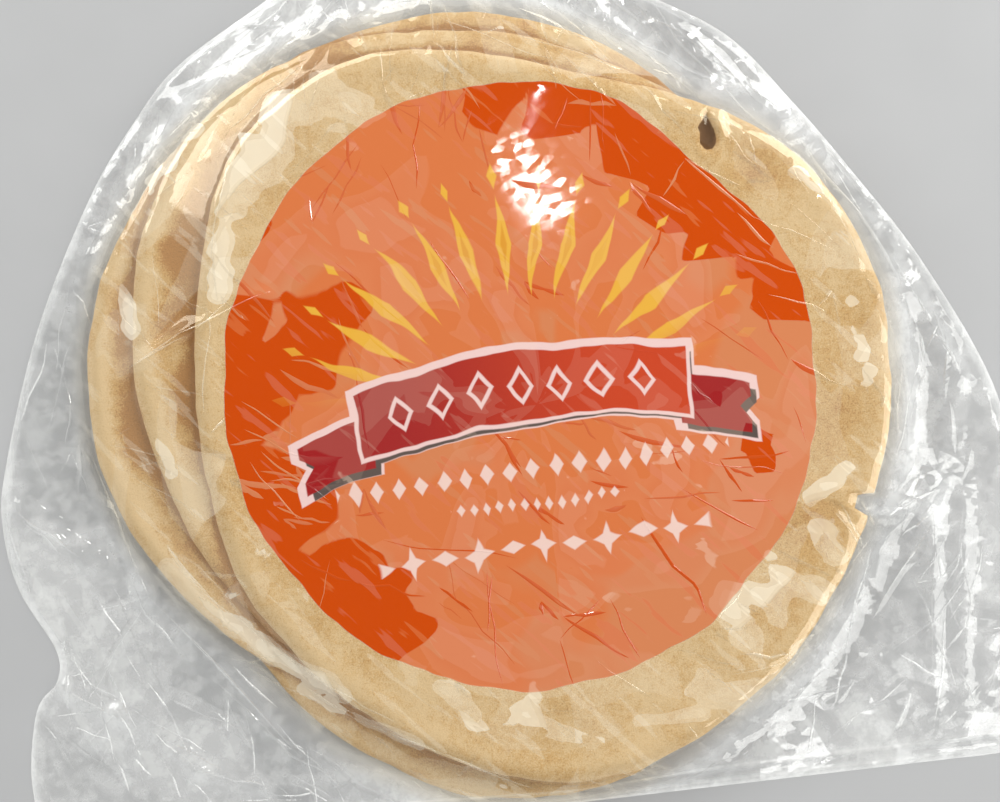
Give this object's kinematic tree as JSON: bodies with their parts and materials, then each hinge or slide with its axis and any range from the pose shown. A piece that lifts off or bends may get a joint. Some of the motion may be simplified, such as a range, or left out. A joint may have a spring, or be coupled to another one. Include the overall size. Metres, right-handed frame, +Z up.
{
  "type": "pack of round flatbreads",
  "caption": "Clear film bag that lies flat on its back, sealed along one side and gathered at the other, over a fanned stack of round pocket breads.",
  "frame": {"origin": "under the middle of the footprint, on the surface that the pack lies on", "axes": "+Z up, +X along the bag's straight bottom seal, +Y towards its gathered mouth"},
  "size_m": [0.4472, 0.404, 0.0289],
  "materials": {
    "pack": "clear glossy film over pale baked bread",
    "film": "thin clear film, glossy and finely creased",
    "print": "translucent orange print on glossy film",
    "bread": "matte baked crust, cream with brown patches and fine pits"
  },
  "bodies": {
    "root": {"bag": "pack"}
  },
  "joints": []
}
